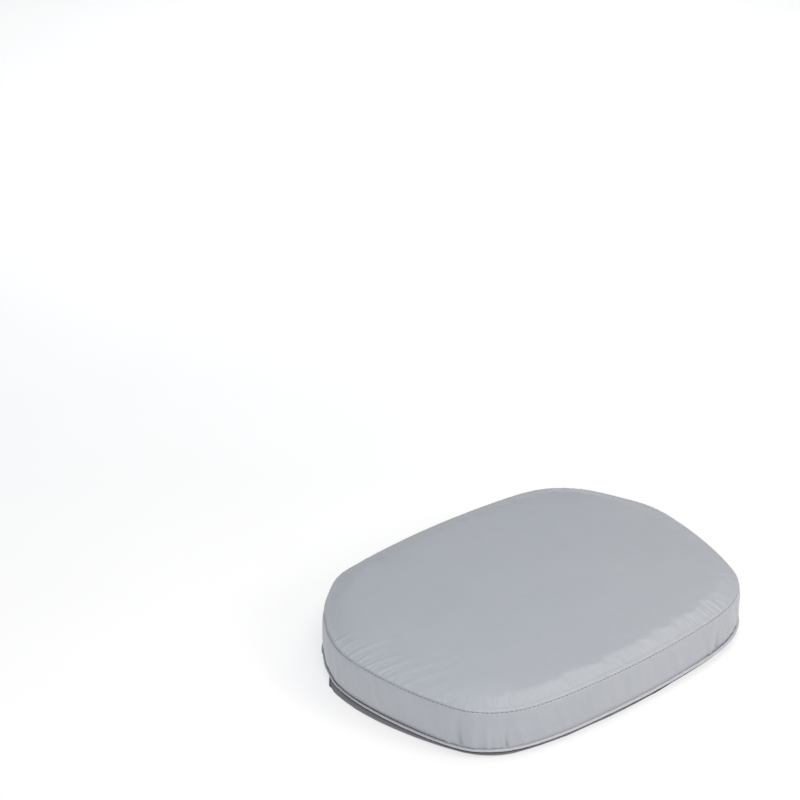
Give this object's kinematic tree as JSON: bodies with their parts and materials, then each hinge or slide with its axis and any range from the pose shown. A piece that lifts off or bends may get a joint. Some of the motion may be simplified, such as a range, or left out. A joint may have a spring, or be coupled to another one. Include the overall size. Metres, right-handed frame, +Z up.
{
  "type": "seat cushion",
  "caption": "Crowned foam seat cushion in a zipped satin cover with a boxed side, a piped base seam and a dark slip-on pocket underneath for a flat seat base.",
  "frame": {"origin": "on the plane of the pocket floor's underside, below the middle of the cushion's plan outline", "axes": "+Z up, +Y towards the pocket's mouth and the zip, -Y towards the sitter's knees, symmetric about X = 0 apart from the zip slider"},
  "size_m": [0.4438, 0.3297, 0.064],
  "materials": {
    "foam": "open-cell foam, matt",
    "wadding": "matt fibre",
    "cover_fabric": "satin weave, soft sheen",
    "welt_fabric": "satin weave, soft sheen",
    "welt_filler": "matt cord",
    "pocket_fabric": "matt plain weave",
    "pocket_binding": "matt woven binding",
    "zip_tape": "matt woven tape",
    "zip_coil": "moulded nylon",
    "zip_metal": "enamelled zinc, satin",
    "thread_grey": "twisted thread",
    "thread_dark": "twisted thread"
  },
  "bodies": {
    "cushion": {"foam_core": "foam", "wadding_wrap": "wadding", "top_panel": "cover_fabric", "front_boxing": "cover_fabric", "zip_placket_upper": "cover_fabric", "zip_placket_lower": "cover_fabric", "zip_tape_upper": "zip_tape", "zip_tape_lower": "zip_tape", "zip_coil_upper": "zip_coil", "zip_coil_lower": "zip_coil", "zip_top_stops": "zip_metal", "zip_bottom_stop": "zip_metal", "base_welt": "welt_fabric", "welt_cord": "welt_filler", "base_panel": "pocket_fabric", "pocket_floor": "pocket_fabric", "pocket_wall": "pocket_fabric", "pocket_hem": "pocket_binding", "top_seam_stitching": "thread_grey", "base_seam_stitching": "thread_grey", "pocket_seam_stitching": "thread_dark", "zip_stitching": "thread_grey"},
    "slider": {"zip_slider": "zip_metal"},
    "pull": {"zip_pull": "zip_metal"}
  },
  "joints": [
    {"name": "zip_travel", "type": "hinge", "parent": "cushion", "child": "slider", "pos_m": [0, -0.6757, 0.033], "axis": [0, 0, 1], "range_deg": [0, 14.4]},
    {"name": "pull_swing", "type": "hinge", "parent": "slider", "child": "pull", "pos_m": [0.10422, 0.14929, 0.033], "axis": [0.9921, -0.1253, 0], "range_deg": [-5, 180]}
  ]
}
